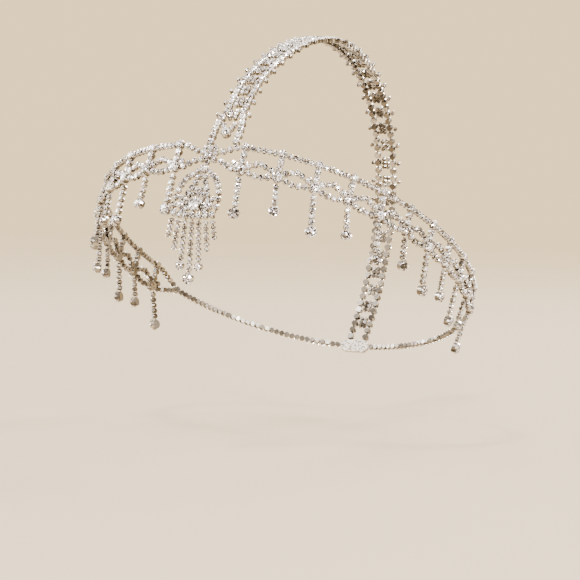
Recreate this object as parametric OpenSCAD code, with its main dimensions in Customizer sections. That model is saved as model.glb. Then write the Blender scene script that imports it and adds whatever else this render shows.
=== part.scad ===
// Flapper head chain of cup-set stones in the form that it has when worn.
// A band of three chains makes a tipped ring, with soldered posts, a drop
// under each post, a pendant with a fringe at the front, and a strap of two
// rails and rungs that arches over the ring from front to back.
// The origin is the centre of the band ring. +Z is up, the front looks along
// -Y, and +X is the wearer's left. Sizes are in millimetres.

/* [Band ring] */
// Half the width of the ring, from side to side
ring_half_width = 84.5; // [82:0.5:88]
// Half the length of the ring, measured in its own plane
ring_half_length = 99.8; // [96:0.2:104]
// Angle by which the front of the ring is tipped up
ring_tilt = 28; // [15:1:32]
// Distance between the upper chain and the lower chain
row_spacing = 10.9; // [10.5:0.1:13]
// Thickness of the fine chain
chain_d = 2.2; // [1.8:0.1:2.4]
// Height of the middle of each middle chain, from halfway between the rows
middle_rise = -0.9; // [-1.5:0.1:1]
// Drop of the lower chain between two posts
lower_sag = 1.2; // [0:0.1:2]

/* [Posts] */
// Number of posts on each side
posts = 11; // [4:1:11]
// Distance along the ring from the front centre to the first post
first_post = 15.4; // [14:0.1:17]
// Distance along the ring from post to post
post_pitch = 16.1; // [15:0.1:16.5]
// Width of the cup at the top of a post
top_cup = 3.8; // [3:0.1:4]
// Width of the two cups below it
column_cup = 3.1; // [2.6:0.1:3.2]
// Width of the large cup on the lower row
heart_cup = 4.8; // [4:0.1:5]
// Width of the cups where the middle chains end
shoulder_cup = 2.9; // [2.2:0.1:3]

/* [Drops] */
// Length of a long drop, from the large cup to the middle of its end stone
long_drop = 16.5; // [12:0.5:20]
// Length of a short drop
short_drop = 12.3; // [9:0.5:16]
// Width of the end cup of a long drop
long_cup = 5; // [4:0.1:5.4]
// Width of the end cup of a short drop
short_cup = 4.6; // [3.6:0.1:5]
// Forward lean of the drops, as a slope
forward_lean = 0.18; // [0:0.02:0.2]
// Outward lean of the drops at the front, as a slope
outward_lean = 0.16; // [0:0.02:0.2]
// Inward lean of the drops at the sides, as a slope
inward_lean = 0.16; // [0:0.02:0.2]

/* [Pendant] */
// Sideways place of the pendant under the knot
pendant_shift = -0.5; // [-1.5:0.5:1]
// Depth of the middle of the cap below the middle of the knot
cap_depth = 6.4; // [6:0.1:6.5]
// Depth of the middle of the bell below the middle of the knot
bell_depth = 24.4; // [23:0.1:25]
// Width of the round cup in the middle of the bell
bell_cup = 5.2; // [4.6:0.1:5.3]
// Width of the round cups on its two sides
side_cup = 3.6; // [3:0.1:3.8]
// Width of the two cups above it
upper_cup = 3; // [2.6:0.1:3.2]
// Distance between the chains of the fringe
fringe_pitch = 3; // [3:0.05:3.4]
// Length of the fringe chains from the outside to the middle one
fringe_lengths = [10.6, 15.3, 21.3, 26.3];
// Width of the end cup of the middle fringe chain
fringe_mid_cup = 4.8; // [4:0.1:5]
// Width of the end cups beside it
fringe_side_cup = 3.6; // [3:0.1:3.6]
// Forward lean of the fringe, as a slope
fringe_lean = 0.05; // [0:0.01:0.2]
// Sideways lean of a fringe chain for each place from the middle, as a slope
fringe_fan = 0.06; // [0:0.01:0.1]

/* [Crown strap] */
// Height of the strap above the middle of the ring, square to the ring
crown_height = 115.5; // [110:0.5:125]
// Distance by which the top of the strap lies behind the middle of the ring
crown_back = 28; // [15:1:35]
// Sideways place of the front end of the strap
crown_shift = 4.8; // [3:0.2:5]
// Sideways place of the strap at its top
crown_sway = 1.5; // [0:0.5:3]
// Distance between the two rails
rail_spacing = 7.8; // [7.6:0.2:10]
// Distance by which each rail swings outwards at the front end
rail_flare = 2; // [1.5:0.1:2.5]
// Thickness of a rail
rail_d = 3.2; // [2.8:0.1:3.4]
// Distance from rung to rung
rung_pitch = 9.2; // [9.2:0.1:12]
// Thickness of each of the two bars of a rung
rung_d = 2; // [1.6:0.1:2.4]
// Width of the small cups outside the rails at the ends of a rung
ear_cup = 1.8; // [1.6:0.1:2.2]

/* [Hidden] */
// Clearance between neighbouring pieces
gap = 0.2;
// Extra clearance where a chain ends at a slant or in a bow
slant_gap = 0.4;
bow_gap = 0.1;
// Sides of a chain, and its thicknesses from one ring of points to the next
chain_sides = 8;
ring_every = 2.5;
// Steps of a short chain that bows
bow_steps = 4;
// Step of the tables that turn a length into an angle
arc_step = 2;

// Depth of a cup, as a floor and a share of its width
cup_floor = 1.1;
cup_share = 0.27;
// Girdle, table and height of a cut stone, as shares of its cup's width
girdle_share = 0.92;
table_share = 0.56;
crown_share = 0.2;
stone_skirt = 0.1;
solder_width = 1;

upper_rise = row_spacing / 2;
heart_rise = -row_spacing / 2;
lower_rise = heart_rise - 0.35;
column_pitch = 3.45;
column_rises = [upper_rise - column_pitch, upper_rise - 2 * column_pitch];
shoulder_reach = 3.1;
shoulder_rise = heart_rise + 2.55;
middle_end_rise = shoulder_rise + 0.3;

// Stones of the knot: petals around the middle, small ones between the upper
// petals and one at the foot
knot_cup = 3.8;
petal_cup = 2.8;
petal_turns = [-30, 30, 90, 150, 210];
knot_radius = knot_cup / 2 + petal_cup + 0.1;
bud_cup = 2;
bud_turns = [60, 120];
bud_radius = 4.65;
foot_cup = 2.2;
foot_drop = 3.1;
knot_spread = 22;
knot_leave = knot_radius * [cos(knot_spread), sin(knot_spread)] + [slant_gap, 0];

cap_cup = 3.6;
cap_wing_cup = 2.1;
cap_wing = [2.9, -1];
// Ends and bends of the hanger's chains. The tops are measured from the cap
outer_top = [3.8, -2.4];
outer_bend = [10.4, 13];
outer_end_shift = 0.9;
inner_top = [1.2, -cap_cup / 2 - 2 * gap];
inner_bend = [1.8, 11.4];
inner_end_shift = -0.3;

small_cup = 1.9;
halo_radius = bell_cup / 2 + small_cup / 2 + 0.2;
halo_stones = 8;
halo_from = -15;
side_place = [6.3, 0.6];
upper_place = [4.3, 5.9];
top_place = [0, 6.2];
wing_place = [7.2, 4.1];
fill_places = [[5.2, 3.2], [5.05, -1.85], [2.05, 6.1]];
crest_place = [1.1, 8.3];
row_cup = 2.9;
row_depth = bell_cup / 2 + row_cup / 2 + 0.2;
row_lift = 1;

join_cup = 3.6;
join_spread = join_cup / 3;
join_place = first_post + posts * post_pitch;
clasp_size = [14.4, 6, 2];

// Where the left and the right rail start, and the room left at the clasp
rail_starts = [6.6, 5.6];
rail_end_gap = 0.7;
first_rung = 24.8;
last_rung_room = 12;
// Where the small outer cups stop, towards the clasp
ear_end = 275;
// Where the flare of the rails ends, and the length in which it builds up
flare_end = 27;
flare_length = 9;
// Distance between the two bars of a rung, in thicknesses
rung_step = 0.92;
tip_cup = 4.4;
tip_stone_cup = 2.3;
tip_place = 12.8;
tip_arm = [[1.6, 3.1], [2.5, 5.3]];
crown_fade = 24;

side_names = ["left", "right"];

// The ring in its own plane, and the frame in which it is worn

function unit(v) = v / norm(v);

function ring_xy(angle) =
    [ring_half_width * sin(angle), -ring_half_length * cos(angle)];

function outward(angle) =
    unit([sin(angle) / ring_half_width, -cos(angle) / ring_half_length]);

ring_table = [
    for (angle = 0, run = 0; angle <= 180;
         run = run + norm(ring_xy(angle + arc_step) - ring_xy(angle)),
         angle = angle + arc_step)
    [run, angle]
];
half_ring = ring_table[len(ring_table) - 1][0];

function angle_at(run) = sign(run) * lookup(abs(run), ring_table);

function worn(p) = [
    p.x,
    p.y * cos(ring_tilt) + p.z * sin(ring_tilt),
    p.z * cos(ring_tilt) - p.y * sin(ring_tilt)
];

function ring_point(run, rise) =
    let (p = ring_xy(angle_at(run))) worn([p.x, p.y, rise]);

function ring_facing(run) =
    let (n = outward(angle_at(run))) worn([n.x, n.y, 0]);

function front_point(x, rise) = worn([x, -ring_half_length, rise]);

front_facing = worn([0, -1, 0]);

// The strap that arches over the ring, by its angle from the front

function crown_yz(angle) = [
    crown_back * sin(angle) - ring_half_length * cos(angle),
    crown_height * sin(angle)
];

crown_table = [
    for (angle = 0, run = 0; angle <= 180;
         run = run + norm(crown_yz(angle + arc_step) - crown_yz(angle)),
         angle = angle + arc_step)
    [run, angle]
];
crown_length = crown_table[len(crown_table) - 1][0];

function crown_outward(angle) = unit([
    -crown_height * cos(angle),
    crown_back * cos(angle) + ring_half_length * sin(angle)
]);

function crown_point(run, x) =
    let (angle = lookup(run, crown_table),
         lift = (rail_d - chain_d) / 2,
         p = crown_yz(angle) + lift * crown_outward(angle),
         shift = crown_shift * max(0, 1 - angle / crown_fade) + crown_sway * sin(angle))
    worn([x + shift, p.x, p.y]);

function crown_facing(run) =
    let (n = crown_outward(lookup(run, crown_table))) worn([0, n.x, n.y]);

// How far a rail lies from the middle of the strap
function rail_place(run) =
    rail_spacing / 2 + rail_flare * max(0, min(1, (flare_end - run) / flare_length));

// Place children on the ring, on the flat front or on the strap, with X
// along it, Y up and Z outwards

module on_ring(run, rise) {
    angle = angle_at(run);
    p = ring_xy(angle);
    n = outward(angle);
    rotate([-ring_tilt, 0, 0])
        translate([p.x, p.y, rise])
        rotate([90, 0, atan2(n.y, n.x) + 90])
        children();
}

module on_front(x, rise) {
    rotate([-ring_tilt, 0, 0])
        translate([x, -ring_half_length, rise])
        rotate([90, 0, 0])
        children();
}

module facing_out(p, n) {
    translate(p)
        rotate([0, acos(n.z), atan2(n.y, n.x)])
        children();
}

module on_crown(run) {
    n = crown_outward(lookup(run, crown_table));
    ahead = crown_point(run + 1, 0) - crown_point(run - 1, 0);
    translate(crown_point(run, 0))
        rotate([atan2(-n.x, n.y) - ring_tilt, 0, 0])
        rotate([0, 0, -asin(ahead.x / norm(ahead))])
        children();
}

// A fine chain: one tube along a row of points

function tube_points(path, facings, d) = [
    for (i = [0 : len(path) - 1])
    let (ahead = path[min(i + 1, len(path) - 1)] - path[max(i - 1, 0)],
         side = unit(cross(facings[i], ahead)),
         out = unit(cross(ahead, side)))
    for (k = [0 : chain_sides - 1])
    let (turn = 360 * (k + 0.5) / chain_sides)
    path[i] + d / 2 * (cos(turn) * side + sin(turn) * out)
];

module tube(path, facings, d) {
    n = chain_sides;
    last = len(path) - 1;
    near_cap = [for (k = [0 : n - 1]) k];
    far_cap = [for (k = [n - 1 : -1 : 0]) last * n + k];
    sides = [
        for (i = [0 : last - 1])
        for (k = [0 : n - 1])
        [i * n + k, (i + 1) * n + k, (i + 1) * n + (k + 1) % n, i * n + (k + 1) % n]
    ];
    polyhedron(tube_points(path, facings, d), concat([near_cap, far_cap], sides));
}

function steps_for(length, d) = max(1, ceil(length / (ring_every * d)));

function swing(a, b, c, t) =
    (1 - t) * (1 - t) * a + 2 * t * (1 - t) * b + t * t * c;

// A chain on the ring from one place to another, each [run, rise], that
// bows up or down in between
module ring_chain(from, to, bow = 0) {
    steps = bow == 0 ? steps_for(norm(to - from), chain_d) : bow_steps;
    peak = (from + to) / 2 + [0, 2 * bow];
    places = [for (i = [0 : steps]) swing(from, peak, to, i / steps)];
    tube([for (p = places) ring_point(p.x, p.y)],
         [for (p = places) ring_facing(p.x)], chain_d);
}

// A straight hanging chain
module hung_chain(p, way, length, facing) {
    steps = steps_for(length, chain_d);
    tube([for (i = [0 : steps]) p + way * length * i / steps],
         [for (i = [0 : steps]) facing], chain_d);
}

// A stone in its cup. The back of the cup is level with the backs of the
// chains, and the stone has a table and eight facets

function cup_depth(d) = cup_floor + cup_share * d;

module crown_cut(d) {
    high = crown_share * d;
    table = table_share * d;
    girdle = girdle_share * d;
    intersection_for (turn = [0 : 45 : 135])
        rotate([90, 0, turn])
        translate([0, 0, -d / 2])
        linear_extrude(d)
        polygon([
            [-girdle / 2, -stone_skirt], [girdle / 2, -stone_skirt],
            [girdle / 2, 0], [table / 2, high],
            [-table / 2, high], [-girdle / 2, 0]
        ]);
}

module cup_stone(d) {
    translate([0, 0, -chain_d / 2]) {
        color("silver") cylinder(d = d, h = cup_depth(d), $fn = 32);
        color("aliceblue") translate([0, 0, cup_depth(d)]) crown_cut(d);
    }
}

// A bar of solder from one cup to the next, each [x, y]
module solder(a, b) {
    run = b - a;
    color("silver")
        translate([a.x, a.y, -chain_d / 2])
        rotate([0, 0, atan2(run.y, run.x)])
        translate([0, -solder_width / 2, 0])
        cube([norm(run), solder_width, solder_width]);
}

module stones_at(places, d) {
    for (p = places) translate([p.x, p.y, 0]) cup_stone(d);
}

// Bars along a row of places
module solder_along(places) {
    for (i = [1 : len(places) - 1]) solder(places[i - 1], places[i]);
}

function both(p) = [p, [-p.x, p.y]];

// Knot, posts and joins

// Places around a middle, at one distance and the given angles
function around(radius, turns) = [for (turn = turns) radius * [cos(turn), sin(turn)]];

module knot() {
    petals = around(knot_radius - petal_cup / 2, petal_turns);
    buds = around(bud_radius, bud_turns);
    foot = [0, -foot_drop];
    on_front(0, 0) {
        cup_stone(knot_cup);
        stones_at(petals, petal_cup);
        stones_at(buds, bud_cup);
        stones_at([foot], foot_cup);
        for (p = concat(petals, [foot])) solder([0, 0], p);
        for (p = buds) solder(petals[2], p);
    }
}

module post(run) {
    top = [0, upper_rise];
    heart = [0, heart_rise];
    column = [for (rise = column_rises) [0, rise]];
    shoulders = both([shoulder_reach, shoulder_rise]);
    on_ring(run, 0) {
        stones_at([top], top_cup);
        stones_at(column, column_cup);
        stones_at([heart], heart_cup);
        stones_at(shoulders, shoulder_cup);
        solder(top, heart);
        for (p = shoulders) solder(heart, p);
    }
}

function post_run(i) = first_post + (i - 1) * post_pitch;

module chain_joins() {
    for (side = [-1, 1]) on_ring(side * join_place, 0) cup_stone(join_cup);
}

// Chains of the band. Side is 1 on the wearer's left and -1 on the right

module side_chain(side, from, to, bow = 0) {
    ring_chain([side * from.x, from.y], [side * to.x, to.y], bow);
}

module upper_chain(side) {
    reach = top_cup / 2 + gap;
    join_reach = join_cup / 2 + gap;
    color("silver") {
        side_chain(side, knot_leave, [first_post - reach - slant_gap, upper_rise]);
        for (i = [1 : posts - 1])
            side_chain(side, [post_run(i) + reach, upper_rise],
                       [post_run(i + 1) - reach, upper_rise]);
        side_chain(side, [post_run(posts) + reach + slant_gap, upper_rise],
                   [join_place - join_reach, join_spread]);
        side_chain(side, [join_place + join_reach, 0],
                   [half_ring - clasp_size.x / 2 - gap - bow_gap, 0]);
    }
}

module middle_chains(side) {
    reach = shoulder_reach + shoulder_cup / 2 + gap + 2 * bow_gap;
    color("silver")
        for (i = [1 : posts - 1])
            side_chain(side, [post_run(i) + reach, middle_end_rise],
                       [post_run(i + 1) - reach, middle_end_rise],
                       middle_rise - middle_end_rise);
}

module lower_chain(side) {
    reach = heart_cup / 2 + gap;
    join_reach = join_cup / 2 + gap;
    color("silver") {
        side_chain(side, [knot_leave.x, -knot_leave.y],
                   [first_post - reach - slant_gap, lower_rise]);
        for (i = [1 : posts - 1])
            side_chain(side, [post_run(i) + reach, lower_rise],
                       [post_run(i + 1) - reach, lower_rise], -lower_sag);
        side_chain(side, [post_run(posts) + reach + slant_gap, lower_rise],
                   [join_place - join_reach, -join_spread]);
    }
}

// Drops: a chain and a large stone, hung from the large cup of a post

function hang_way(run) =
    let (n = ring_facing(run),
         level = unit([n.x, n.y, 0]),
         front = cos(angle_at(run)),
         lean = outward_lean * front - inward_lean * (1 - front))
    unit([0, -forward_lean, -1] + lean * level);

function square_to(n, way) = unit(n - (n * way) * way);

module hung_stone(p, way, facing, d) {
    n = square_to(facing, way);
    facing_out(p, n) cup_stone(d);
}

module drop(i, side) {
    run = side * post_run(i);
    long = i % 2 == 1;
    length = long ? long_drop : short_drop;
    cup = long ? long_cup : short_cup;
    way = hang_way(run);
    facing = ring_facing(run);
    start = heart_cup / 2 + gap + slant_gap;
    heart = ring_point(run, heart_rise);
    color("silver")
        hung_chain(heart + way * start, way,
                   heart_cup / 2 + length - cup / 2 - gap - start, facing);
    hung_stone(heart + way * (heart_cup / 2 + length), way, facing, cup);
}

// Pendant: hanger, bell and fringe

module hanger_chain(from, bend, to) {
    places = [for (i = [0 : bow_steps]) swing(from, bend, to, i / bow_steps)];
    tube([for (p = places) front_point(pendant_shift + p.x, p.y - bell_depth)],
         [for (p = places) front_facing], chain_d);
}

halo_places = [
    for (i = [0 : halo_stones - 1])
    let (turn = halo_from + i * (180 - 2 * halo_from) / (halo_stones - 1))
    halo_radius * [cos(turn), sin(turn)]
];
row_places = [
    for (i = [-3 : 3])
    [i * fringe_pitch, row_lift * i * i / 9 - row_depth]
];

module pendant_hanger() {
    cap = [0, bell_depth - cap_depth];
    on_front(pendant_shift, -cap_depth) {
        cup_stone(cap_cup);
        for (p = both(cap_wing)) {
            stones_at([p], cap_wing_cup);
            solder([0, 0], p);
        }
    }
    outer_end = row_places[6] + [outer_end_shift, row_cup / 2 + 2 * gap];
    inner_end = upper_place + [inner_end_shift, upper_cup / 2 + 2 * gap];
    color("silver")
        for (side = [-1, 1]) {
            flip = [[side, 0], [0, 1]];
            hanger_chain(flip * (cap + outer_top), flip * outer_bend, flip * outer_end);
            hanger_chain(flip * (cap + inner_top), flip * inner_bend, flip * inner_end);
        }
}

module pendant_bell() {
    sides = both(side_place);
    uppers = both(upper_place);
    wings = both(wing_place);
    crests = both(crest_place);
    on_front(pendant_shift, -bell_depth) {
        cup_stone(bell_cup);
        stones_at(halo_places, small_cup);
        stones_at(sides, side_cup);
        stones_at(uppers, upper_cup);
        stones_at(concat([top_place], wings), small_cup);
        stones_at(crests, small_cup);
        for (p = fill_places) stones_at(both(p), small_cup);
        stones_at(row_places, row_cup);
        solder_along(halo_places);
        solder_along(row_places);
        solder_along([sides[0], wings[0], uppers[0], top_place, uppers[1], wings[1], sides[1]]);
        solder_along([crests[0], top_place, crests[1]]);
        solder(sides[1], sides[0]);
        solder([0, 0], row_places[3]);
        for (i = [0, 1]) {
            solder([0, 0], uppers[i]);
            solder_along([[0, 0], both(fill_places[0])[i], wings[i]]);
            solder(sides[i], row_places[i == 0 ? 5 : 1]);
        }
    }
}

function fringe_way(i) = unit([i * fringe_fan, -fringe_lean, -1]);

module fringe_chains() {
    color("silver")
        for (i = [-3 : 3]) {
            way = fringe_way(i);
            length = fringe_lengths[3 - abs(i)];
            cup = abs(i) > 1 ? 0 : i == 0 ? fringe_mid_cup : fringe_side_cup;
            start = row_cup / 2 + gap + slant_gap;
            p = row_places[i + 3];
            top = front_point(pendant_shift + p.x, p.y - bell_depth);
            stop = cup > 0 ? cup / 2 + gap : 0;
            hung_chain(top + way * start, way, length - stop - start, -[0, 1, 0]);
        }
}

module fringe_stones() {
    for (i = [-1 : 1]) {
        way = fringe_way(i);
        p = row_places[i + 3];
        top = front_point(pendant_shift + p.x, p.y - bell_depth);
        cup = i == 0 ? fringe_mid_cup : fringe_side_cup;
        hung_stone(top + way * fringe_lengths[3 - abs(i)], way, [0, -1, 0], cup);
    }
}

// Crown strap

module crown_rail(side) {
    from = rail_starts[side > 0 ? 0 : 1];
    to = crown_length - clasp_size.y / 2 - rail_end_gap;
    steps = steps_for(to - from, rail_d);
    runs = [for (i = [0 : steps]) from + (to - from) * i / steps];
    color("silver")
        tube([for (run = runs) crown_point(run, side * rail_place(run))],
             [for (run = runs) crown_facing(run)], rail_d);
}

module crown_tip() {
    for (p = both([1, 0])) {
        arm = [for (q = tip_arm) [p.x * q.x, q.y]];
        stones_at(arm, tip_stone_cup);
        solder_along(concat([[0, 0]], arm));
    }
    cup_stone(tip_cup);
}

module crown_rungs() {
    for (run = [first_rung : rung_pitch : crown_length - last_rung_room])
        on_crown(run) {
            rail_edge = rail_d / 2 + gap + bow_gap;
            color("silver")
                for (side = [-1, 1])
                    translate([0, side * rung_d * rung_step / 2, 0])
                    rotate([0, 90, 0])
                    cylinder(d = rung_d, h = 2 * (rail_place(run) - rail_edge),
                             center = true, $fn = 8);
            if (run < ear_end)
                stones_at(both([rail_place(run) + rail_edge + ear_cup / 2, 0]), ear_cup);
        }
    on_crown(tip_place) crown_tip();
}

module back_clasp() {
    straight = clasp_size.x - clasp_size.y;
    color("silver")
        on_ring(half_ring, 0)
        translate([0, 0, -chain_d / 2]) {
            translate([-straight / 2, -clasp_size.y / 2, 0])
                cube([straight, clasp_size.y, clasp_size.z]);
            for (side = [-1, 1])
                translate([side * straight / 2, 0, 0])
                cylinder(d = clasp_size.y, h = clasp_size.z, $fn = 48);
        }
}

knot();
upper_chain(1);  // upper_chain_left
upper_chain(-1);  // upper_chain_right
middle_chains(1);  // middle_chains_left
middle_chains(-1);  // middle_chains_right
lower_chain(1);  // lower_chain_left
lower_chain(-1);  // lower_chain_right
for (i = [1 : posts], side = [1, -1]) {
    name = side_names[side > 0 ? 0 : 1];
    post(side * post_run(i));
    drop(i, side);
}
pendant_hanger();
pendant_bell();
fringe_chains();
fringe_stones();
crown_rail(1);  // crown_rail_left
crown_rail(-1);  // crown_rail_right
crown_rungs();
chain_joins();
back_clasp();
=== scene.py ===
"""Flapper head chain of cup-set stones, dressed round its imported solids.

Each run of fine chain, which the solids hold as a plain tube, becomes a row of
stones in prong cups on soldered links. Posts, drops, the fringed pendant and
the ladder strap follow the same sizes as the solids. Lengths are in
millimetres up to the last step of a piece, which turns them into metres.
"""

import logging
import math
import random
from dataclasses import dataclass, field
from enum import Enum, IntEnum
from functools import cached_property
from typing import Callable, Iterable, Sequence

import bmesh
import bpy
from mathutils import Matrix, Vector


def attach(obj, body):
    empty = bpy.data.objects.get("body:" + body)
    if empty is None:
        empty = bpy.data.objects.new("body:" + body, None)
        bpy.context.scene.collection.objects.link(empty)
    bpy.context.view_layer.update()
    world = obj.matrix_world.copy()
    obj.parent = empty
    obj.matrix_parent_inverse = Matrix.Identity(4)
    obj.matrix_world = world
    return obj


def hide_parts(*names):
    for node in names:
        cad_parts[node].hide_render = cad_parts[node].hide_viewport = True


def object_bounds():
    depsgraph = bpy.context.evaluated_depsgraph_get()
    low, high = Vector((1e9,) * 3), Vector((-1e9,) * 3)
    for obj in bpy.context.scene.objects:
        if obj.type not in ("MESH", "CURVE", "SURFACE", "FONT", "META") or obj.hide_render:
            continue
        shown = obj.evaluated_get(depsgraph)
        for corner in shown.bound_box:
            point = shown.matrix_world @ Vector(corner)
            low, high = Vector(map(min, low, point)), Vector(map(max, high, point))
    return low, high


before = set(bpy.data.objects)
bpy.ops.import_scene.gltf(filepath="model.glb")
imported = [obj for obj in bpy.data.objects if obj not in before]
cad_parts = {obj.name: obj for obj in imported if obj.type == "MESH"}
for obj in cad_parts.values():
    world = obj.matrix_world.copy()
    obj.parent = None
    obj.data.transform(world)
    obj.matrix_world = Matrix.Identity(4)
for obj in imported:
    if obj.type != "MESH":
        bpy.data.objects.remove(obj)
SOLID_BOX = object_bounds()

log = logging.getLogger("head_chain")

MM = 0.001
# Face layer that holds the painted tone of each facet, its painted reflection or shade,
# and the slots of the materials
FACET = "facet"
SILVER_INDEX = 0
CRYSTAL_INDEX = 1
# Half the thickness of a fine chain of the solids, and the stones set along it
CHAIN_HALF = 1.1
FINE_STONE = 2.55
FINE_PITCH = 2.6
# Clearance between neighbouring pieces
GAP = 0.2

Face = bmesh.types.BMFace
BMesh = bmesh.types.BMesh
Material = bpy.types.Material
Mesh = bpy.types.Mesh
Node = bpy.types.Node
Socket = bpy.types.NodeSocket
Tree = bpy.types.NodeTree
Pair = tuple[float, float]
Place = tuple[float, float]
Stops = tuple[tuple[float, str], ...]
Lamp = tuple[str, tuple[float, float, float], float, float]


# Finishes


def linear(hex_color: str) -> tuple[float, float, float, float]:
    """Turns an sRGB hex colour into the linear colour that a shader takes.

    Args:
        hex_color: The colour as "#RRGGBB".

    Returns:
        Red, green, blue and an alpha of 1.
    """
    values = [int(hex_color[i : i + 2], 16) / 255 for i in (1, 3, 5)]
    red, green, blue = (
        v / 12.92 if v <= 0.04045 else ((v + 0.055) / 1.055) ** 2.4 for v in values
    )
    return red, green, blue, 1.0


def socket(sockets: Iterable[Socket], name: str) -> Socket:
    """The socket of a name that is in use, as a mix node has several of each."""
    return next(item for item in sockets if item.name == name and item.enabled)


def add_node(tree: Tree, kind: str, settings: dict | None = None, **links: object) -> Node:
    """Adds a node with its settings and its links.

    Args:
        tree: The node tree of a material or a world.
        kind: The node's type name after "ShaderNode".
        settings: Attribute names, or input names, with their values.
        **links: Input names, with _ for a space, and the output that feeds each.

    Returns:
        The new node.
    """
    node = tree.nodes.new("ShaderNode" + kind)
    for name, value in (settings or {}).items():
        if name in node.inputs:
            socket(node.inputs, name).default_value = value
        else:
            setattr(node, name, value)
    for name, output in links.items():
        tree.links.new(output, socket(node.inputs, name.replace("_", " ")))
    return node


def new_material(name: str) -> tuple[Material, Tree]:
    """Makes an empty node material.

    Args:
        name: The material's name.

    Returns:
        The material and its node tree.
    """
    material = bpy.data.materials.new(name)
    material.use_nodes = True
    material.node_tree.nodes.clear()
    return material, material.node_tree


def set_stops(ramp: bpy.types.ColorRamp, stops: Stops) -> None:
    """Gives a colour ramp its stops.

    Args:
        ramp: The ramp, new and with its two first stops.
        stops: Place and sRGB hex colour of each stop, in order.
    """
    while len(ramp.elements) < len(stops):
        ramp.elements.new(0.5)
    for element, (place, color) in zip(ramp.elements, stops):
        element.position = place
        element.color = linear(color)


@dataclass(frozen=True)
class SilverPlate:
    """Bright silver plating on stamped brass cups and links.

    Each flat of a cup's wall and rim, and each link, takes a tone from the
    facet layer: painted reflections of light and dark patches of the room,
    and painted shade on the darker rims, walls and links. Noise patches about
    a millimetre wide add painted reflection to the tone and vary the roughness.
    That gives grey steps between the white glints of the rims.
    """

    name: str = "bright_silver_plate"
    # Painted reflection and shade: dark, mid and bright steps of the silver
    tones: Stops = ((0.15, "#2A2725"), (0.4, "#857C71"), (0.62, "#F2EEEA"))
    roughness: Pair = (0.12, 0.3)
    reflection_patch_mm: float = 0.9
    facet_share: float = 0.7

    def build(self) -> Material:
        """Builds the material.

        Returns:
            The new material.
        """
        material, tree = new_material(self.name)
        place = add_node(tree, "TexCoord")
        # Noise patches of painted reflection in the tone, which also vary the roughness
        reflection_patches = add_node(
            tree,
            "TexNoise",
            {"Scale": 1 / (self.reflection_patch_mm * MM), "Detail": 2.0, "Roughness": 0.6},
            Vector=place.outputs["Object"],
        )
        flat = add_node(tree, "Attribute", {"attribute_name": FACET})
        both_tones = add_node(
            tree,
            "Mix",
            {"data_type": "FLOAT", "Factor": self.facet_share},
            A=reflection_patches.outputs["Fac"],
            B=flat.outputs["Fac"],
        )
        tone = add_node(tree, "ValToRGB", Fac=both_tones.outputs["Result"])
        set_stops(tone.color_ramp, self.tones)
        gloss = add_node(
            tree,
            "MapRange",
            {"To Min": self.roughness[1], "To Max": self.roughness[0]},
            Value=reflection_patches.outputs["Fac"],
        )
        shader = add_node(
            tree,
            "BsdfPrincipled",
            {"Metallic": 1.0},
            Base_Color=tone.outputs["Color"],
            Roughness=gloss.outputs["Result"],
        )
        add_node(tree, "OutputMaterial", Surface=shader.outputs["BSDF"])
        return material


@dataclass(frozen=True)
class FoiledCrystal:
    """Clear cut glass with silver foil behind it, moulded and polished.

    The foil sends light back through the cut. Each facet shows one painted
    tone, a painted reflection from near black to white with a lilac tint, the
    lightest ones painted glints, under a hard glass gloss.
    """

    name: str = "foiled_cut_crystal"
    # Painted reflections of the facets, from dark ones to painted white glints
    tones: Stops = (
        (0.0, "#0A0706"),
        (0.32, "#2E251F"),
        (0.5, "#85735F"),
        (0.64, "#D0C5CC"),
        (0.8, "#FFFFFF"),
    )
    foil: float = 0.5
    roughness: float = 0.12
    polish: float = 0.7
    polish_roughness: float = 0.02
    glass_ior: float = 1.55

    def build(self) -> Material:
        """Builds the material.

        Returns:
            The new material.
        """
        material, tree = new_material(self.name)
        facet = add_node(tree, "Attribute", {"attribute_name": FACET})
        tone = add_node(tree, "ValToRGB", Fac=facet.outputs["Fac"])
        set_stops(tone.color_ramp, self.tones)
        look = {
            "Metallic": self.foil,
            "Roughness": self.roughness,
            "Coat Weight": self.polish,
            "Coat Roughness": self.polish_roughness,
            "Coat IOR": self.glass_ior,
        }
        shader = add_node(tree, "BsdfPrincipled", look, Base_Color=tone.outputs["Color"])
        add_node(tree, "OutputMaterial", Surface=shader.outputs["BSDF"])
        return material


@dataclass(frozen=True)
class PaperFloor:
    """Matt seamless paper in a pale warm tone, which fades into the backdrop."""

    name: str = "matt_backdrop_paper"
    color: str = "#9A8A70"
    roughness: float = 0.9
    fade_from: float = 0.5
    fade_to: float = 1.9

    def build(self) -> Material:
        """Builds the material.

        Returns:
            The new material.
        """
        material, tree = new_material(self.name)
        place = add_node(tree, "TexCoord")
        distance = add_node(
            tree, "VectorMath", {"operation": "LENGTH"}, Vector=place.outputs["Object"]
        )
        fade = add_node(
            tree,
            "MapRange",
            {
                "interpolation_type": "SMOOTHSTEP",
                "From Min": self.fade_from,
                "From Max": self.fade_to,
            },
            Value=distance.outputs["Value"],
        )
        look = {"Base Color": linear(self.color), "Roughness": self.roughness}
        paper = add_node(tree, "BsdfPrincipled", look)
        clear = add_node(tree, "BsdfTransparent")
        mixed = add_node(tree, "MixShader", Fac=fade.outputs["Result"])
        tree.links.new(paper.outputs["BSDF"], mixed.inputs[1])
        tree.links.new(clear.outputs["BSDF"], mixed.inputs[2])
        add_node(tree, "OutputMaterial", Surface=mixed.outputs["Shader"])
        return material


# The ring


class Side(Enum):
    """The left or right side of the band, with its sign along X."""

    LEFT = 1
    RIGHT = -1

    @property
    def label(self) -> str:
        """The side's name in the names of pieces."""
        return self.name.lower()


def turned(degrees: float, axis: str) -> Matrix:
    """A turn about one axis, as a 4 by 4 matrix."""
    return Matrix.Rotation(math.radians(degrees), 4, axis)


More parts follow.
